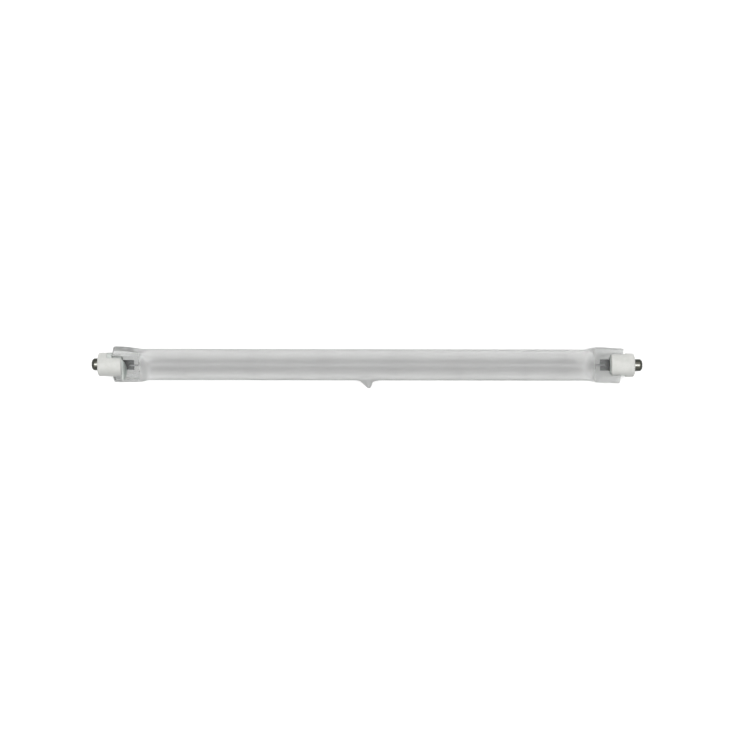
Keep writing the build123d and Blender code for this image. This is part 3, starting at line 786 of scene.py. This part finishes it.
for name, side in (("left", -1), ("right", 1)):
    seat = CAPS[name][1] - 0.6
    dome = [(97.5, 0.0), (97.5, 0.5), (97.5, 0.93), (97.485, 1.08), (97.44, 1.22), (97.36, 1.41), (97.25, 1.6), (97.1, 1.79), (96.92, 1.95),
            (96.74, 2.07), (96.6, 2.13), (96.45, 2.15), (95.9, 2.15), (95.3, 2.15), (seat + 0.12, 2.15), (seat + 0.04, 2.12), (seat, 2.04),
            (seat, 1.2), (seat - 0.05, 1.11), (seat - 0.15, 1.1), (93.2, 1.1), (92.12, 1.1), (92.04, 1.07), (92.0, 1.0), (92.0, 0.42), (92.05, 0.35),
            (93.0, 0.35), (93.85, 0.35), (93.9, 0.3), (93.9, 0.0)]
    lathe(f"{name}_contact_button", dome, CONTACT, f"{name}_contact", side)

# ---------------------------------------------------------------- leads: drawn rods with a flat where the foil is welded on
def rod(name, node_name, side, turn, near, far):
    sides = 28
    ang = 2 * math.pi * np.arange(sides) / sides
    xs = [(near, 0.55), (near + 0.03, 0.8), (near + 0.09, 0.96), (near + 0.16, 1.0)]
    inner = [x for x in np.arange(near + 0.4, far - 0.3, 0.3)]
    edges = [x for x in (82.37, 82.41, 88.69, 88.73) if near + 0.2 < x < far - 0.2]
    xs += [(x, 1.0) for x in sorted(inner + edges)]
    xs += [(far - 0.16, 1.0), (far - 0.09, 0.96), (far - 0.03, 0.8), (far, 0.55)]
    verts = []
    for x, k in xs:
        s, t = LEAD_R * k * np.cos(ang), LEAD_R * k * np.sin(ang)
        if 82.4 < x < 88.7:
            t = np.minimum(t, 0.318)
        verts.append(place(side * x, s, t, turn))
    faces = grid_faces(len(xs), sides, flip=side < 0)
    first, last = tuple(range(sides)), tuple(range((len(xs) - 1) * sides, len(xs) * sides))
    faces += [first[::-1], last] if side > 0 else [first, last[::-1]]
    return new_piece(name, np.concatenate(verts), faces, LEAD, angle=45, node=node_name)


for name, side, turn, near in (("left", -1, LEFT_TURN, 76.3), ("right", 1, RIGHT_TURN, 74.3)):
    rod(f"{name}_inner_rod", f"{name}_inner_lead", side, turn, near, 84.2)
    rod(f"{name}_outer_rod", f"{name}_outer_lead", side, turn, 87.2, 93.9)


# ---------------------------------------------------------------- ceramic caps and cement: remeshed fine, with soft edges
def remeshed(name, mesh, voxel, rounds, mat, node_name, cut=None, lumps=0.0, seed=1, shrink=0.0):
    """mesh is in millimetres. The piece is its voxel remesh, smoothed, in metres."""
    tmp = bpy.data.objects.new(name + "_tmp", mesh)
    bpy.context.scene.collection.objects.link(tmp)
    weld = tmp.modifiers.new("weld", "WELD")
    weld.merge_threshold = 1e-3
    if cut:
        bo = tmp.modifiers.new("cut", "BOOLEAN")
        bo.operation, bo.solver, bo.object = "DIFFERENCE", "EXACT", cut
    rm = tmp.modifiers.new("remesh", "REMESH")
    rm.mode = "VOXEL"
    rm.voxel_size = voxel
    rm.adaptivity = 0.0
    sm = tmp.modifiers.new("smooth", "SMOOTH")
    sm.factor = 0.5
    sm.iterations = rounds
    dg = bpy.context.evaluated_depsgraph_get()
    fine = bpy.data.meshes.new_from_object(tmp.evaluated_get(dg))
    bpy.data.objects.remove(tmp)
    bpy.data.meshes.remove(mesh)
    fine.name = name
    n = len(fine.vertices)
    co = np.empty(n * 3)
    fine.vertices.foreach_get("co", co)
    co = co.reshape(-1, 3)
    if lumps:
        no = np.empty(n * 3)
        fine.vertices.foreach_get("normal", no)
        no = no.reshape(-1, 3)
        rng = np.random.default_rng(seed)
        d = np.zeros(n)
        for _ in range(14):
            k = rng.normal(0, 1, 3)
            k *= rng.uniform(1.2, 5.0) / np.linalg.norm(k)
            d += np.sin(co @ k + rng.uniform(0, 6.28)) / 3.7
        co = co + no * (np.clip(d, -1, 1) * lumps - shrink)[:, None]
    fine.vertices.foreach_set("co", (co * MM).ravel())
    fine.materials.clear()
    fine.materials.append(mat)
    fine.update()
    fine.shade_smooth()
    obj = bpy.data.objects.new(name, fine)
    bpy.context.scene.collection.objects.link(obj)
    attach(obj, "root")
    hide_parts(node_name)
    return obj


def raw_mesh(name, verts_mm, faces):
    m = bpy.data.meshes.new(name)
    m.from_pydata([tuple(v) for v in verts_mm], [], [tuple(int(i) for i in f) for f in faces])
    m.update()
    return m


def cap_mesh(name, side, turn):
    """The turned body of a cap, before its slot, in millimetres."""
    columns = 256
    near, far, _ = CAPS[name]
    prof = [(near, 1.1), (near, 2.2), (near, CAP_R - 0.6)]
    prof += arc(near + 0.6, CAP_R - 0.6, 0.6, 180, 90, 9)[1:]
    prof += [(x, CAP_R) for x in (88.6, 90.0, 91.4, 92.8)]
    prof += [(far - 0.72, CAP_R), (far - 0.52, CAP_R - 0.10), (far - 0.34, CAP_R - 0.36), (far - 0.2, CAP_R - 0.75),
             (far - 0.07, CAP_R - 1.15), (far, CAP_R - 1.6)]
    prof += [(far, 2.3), (far - 0.6, 2.3), (far - 0.6, 1.1), (92.5, 1.1)]
    ang = 2 * math.pi * np.arange(columns) / columns
    verts = [place(side * x, r * np.cos(ang), r * np.sin(ang), turn) / MM for x, r in prof]
    rows = len(prof)
    faces = grid_faces(rows, columns, flip=side < 0)
    top = (rows - 1) * columns
    for j in range(columns):  # the bore closes the loop
        k = (j + 1) % columns
        q = (top + j, top + k, k, j)
        faces.append(q[::-1] if side < 0 else q)
    return raw_mesh("cap_body", np.concatenate(verts), faces)


def slot_box(name, side, turn):
    x0, x1 = CAPS[name][0] - 1, CAPS[name][2]
    pts = [place(side * x, s, t, turn) / MM for x in (x0, x1) for s in (-5.5, 5.5) for t in (-1.75, 1.75)]
    faces = [(0, 1, 3, 2), (4, 6, 7, 5), (0, 4, 5, 1), (2, 3, 7, 6), (0, 2, 6, 4), (1, 5, 7, 3)]
    if side < 0:
        faces = [q[::-1] for q in faces]
    m = raw_mesh("slot_box", np.array(pts), faces)
    o = bpy.data.objects.new("slot_box", m)
    bpy.context.scene.collection.objects.link(o)
    return o


for name, side, turn in (("left", -1, LEFT_TURN), ("right", 1, RIGHT_TURN)):
    box = slot_box(name, side, turn)
    remeshed(f"{name}_cap_ceramic", cap_mesh(name, side, turn), 0.10, 3, CERAMIC, f"{name}_ceramic_cap", cut=box)
    bpy.data.objects.remove(box)
    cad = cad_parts[f"{name}_cement"].data.copy()
    cad.transform(Matrix.Scale(1 / MM, 4))
    remeshed(f"{name}_cement_fill", cad, 0.08, 2, CEMENT, f"{name}_cement", lumps=0.03, seed=3 if side < 0 else 5, shrink=0.035)

# ---------------------------------------------------------------- floor, light and camera
flo = bpy.data.meshes.new("floor")
flo.from_pydata([(-6, -6, 0), (6, -6, 0), (6, 6, 0), (-6, 6, 0)], [], [(0, 1, 2, 3)])
floor = bpy.data.objects.new("floor", flo)
bpy.context.scene.collection.objects.link(floor)
flo.materials.append(floor_material())

world = bpy.data.worlds.new("studio")
bpy.context.scene.world = world
world.use_nodes = True
bg = world.node_tree.nodes["Background"]
bg.inputs["Color"].default_value = (1.0, 1.0, 1.0, 1.0)
bg.inputs["Strength"].default_value = 1.3

el = math.radians(ROLL)
back = Vector((0.0, -math.cos(el), math.sin(el)))  # from the lamp towards the camera
up = Vector((0.0, math.sin(el), math.cos(el)))
right = Vector((1.0, 0.0, 0.0))
axis_point = Vector((0.0, AXIS_Y * MM, AXIS_Z * MM))


def softbox(name, direction, distance, size, size_y, power):
    d = bpy.data.lights.new(name, "AREA")
    d.shape = "RECTANGLE"
    d.size, d.size_y = size, size_y
    d.energy = power
    o = bpy.data.objects.new(name, d)
    bpy.context.scene.collection.objects.link(o)
    direction = direction.normalized()
    o.location = axis_point + direction * distance
    o.rotation_mode = "QUATERNION"
    o.rotation_quaternion = (-direction).to_track_quat("-Z", "Y")
    return o


softbox("key", back - up * 0.03, 1.5, 1.3, 0.46, 10.5)

WIDTH_PX, HEIGHT_PX = 733, 734
LENS, SENSOR = 150.0, 36.0
ROLL_IN_VIEW = 0.00154  # the lamp runs very slightly downhill to the right
PX = 195.0 / 550.5 * MM  # metres on the lamp for one pixel of the frame
distance = HEIGHT_PX * PX * LENS / SENSOR
aim = axis_point + right * ((WIDTH_PX / 2 - 367.05) * PX) - up * ((HEIGHT_PX / 2 - 364.75) * PX)
cam_data = bpy.data.cameras.new("camera")
cam_data.lens = LENS
cam_data.sensor_width = SENSOR
cam_data.sensor_fit = "AUTO"
cam_data.clip_start, cam_data.clip_end = 0.05, 30.0
cam = bpy.data.objects.new("camera", cam_data)
bpy.context.scene.collection.objects.link(cam)
cam.location = aim + back * distance
cam.rotation_mode = "QUATERNION"
turn = Matrix.Rotation(ROLL_IN_VIEW, 3, back)
cam.rotation_quaternion = (turn @ Matrix((right, up, back)).transposed()).to_quaternion()
bpy.context.scene.camera = cam

bpy.context.scene.view_settings.view_transform = "Standard"
